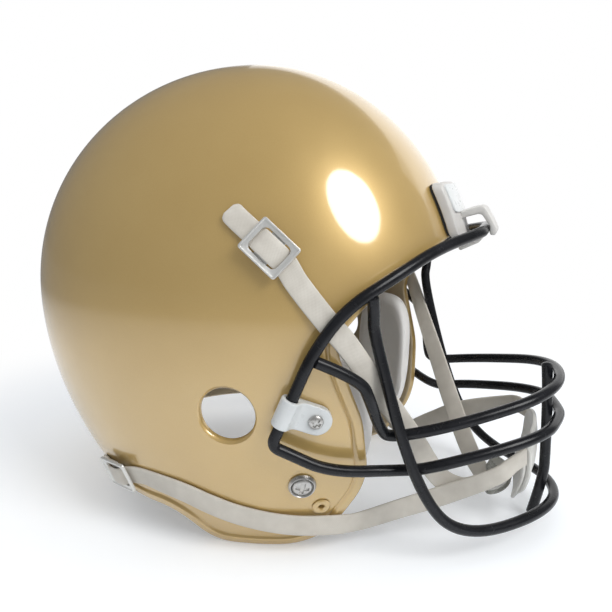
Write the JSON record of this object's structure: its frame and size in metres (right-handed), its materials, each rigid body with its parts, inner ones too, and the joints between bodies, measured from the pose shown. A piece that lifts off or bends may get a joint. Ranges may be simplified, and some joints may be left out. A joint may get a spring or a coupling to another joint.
{
  "type": "football helmet",
  "caption": "Hard-shell football helmet with a padded liner, a bent-wire face cage, side clips, a nose bumper and a four-point chin strap with cup.",
  "frame": {"origin": "centre of the object's footprint box, at the level of the jaw edges that it stands on", "axes": "+X towards the face, +Y to the wearer's left, +Z towards the crown"},
  "size_m": [0.357, 0.2314, 0.282],
  "materials": {
    "shell": "clear-coated metallic gold",
    "cage": "semi-gloss black coating",
    "clip": "satin off-white",
    "steel": "satin",
    "buckle": "satin",
    "grommet": "satin",
    "strap": "smooth coated webbing",
    "chin_shield": "satin",
    "chin_cup": "smoky, slightly see-through",
    "pad": "soft matte vinyl",
    "discs": "hook and loop",
    "gasket": "matte",
    "bumper": "satin",
    "plate": "satin, bare"
  },
  "bodies": {
    "helmet": {"shell": "shell", "bumper_gasket": "gasket", "bumper": "bumper", "bumper_plate": "plate", "outer_frame": "cage", "upper_ring": "cage", "vertical_loop": "cage", "centre_bar": "cage", "clip_right": "clip", "clip_left": "clip", "clip_screws": "steel", "clip_nuts": "steel", "cup_washers": "steel", "jaw_screws": "steel", "jaw_nuts": "steel", "jaw_grommets": "grommet", "strap_studs": "steel", "strap_upper_right": "strap", "strap_upper_left": "strap", "strap_lower_right": "strap", "strap_lower_left": "strap", "crown_pad": "pad", "front_pad": "pad", "back_pad": "pad", "side_pad_right": "pad", "side_pad_left": "pad", "jaw_pad_right": "pad", "jaw_pad_left": "pad", "pad_discs": "discs"},
    "chin": {"chin_shield": "chin_shield", "cup_bars": "chin_shield", "chin_cup": "chin_cup"},
    "upper_right_snap": {"buckle_upper_right": "buckle"},
    "upper_left_snap": {"buckle_upper_left": "buckle"},
    "lower_right_snap": {"buckle_lower_right": "buckle"},
    "lower_left_snap": {"buckle_lower_left": "buckle"}
  },
  "joints": [
    {"name": "chin_swing", "type": "hinge", "parent": "helmet", "child": "chin", "pos_m": [0.02795, 0, 0.179], "axis": [0, 1, 0], "range_deg": [0, 5], "deforming": ["strap_upper_right", "strap_upper_left", "strap_lower_right", "strap_lower_left"]},
    {"name": "upper_left_turn", "type": "hinge", "parent": "helmet", "child": "upper_left_snap", "pos_m": [0.02795, 0.10162, 0.179], "axis": [0.2892, 0.9264, 0.2412], "range_deg": [-12, 12], "deforming": ["strap_upper_left"]},
    {"name": "lower_left_turn", "type": "hinge", "parent": "helmet", "child": "lower_left_snap", "pos_m": [-0.07405, 0.09538, 0.038], "axis": [-0.3311, 0.8835, -0.3314], "range_deg": [-12, 12], "deforming": ["strap_lower_left"]},
    {"name": "upper_right_turn", "type": "hinge", "parent": "helmet", "child": "upper_right_snap", "pos_m": [0.02795, -0.10162, 0.179], "axis": [0.2892, -0.9264, 0.2412], "range_deg": [-12, 12], "deforming": ["strap_upper_right"]},
    {"name": "lower_right_turn", "type": "hinge", "parent": "helmet", "child": "lower_right_snap", "pos_m": [-0.07405, -0.09538, 0.038], "axis": [-0.3311, -0.8835, -0.3314], "range_deg": [-12, 12], "deforming": ["strap_lower_right"]}
  ]
}
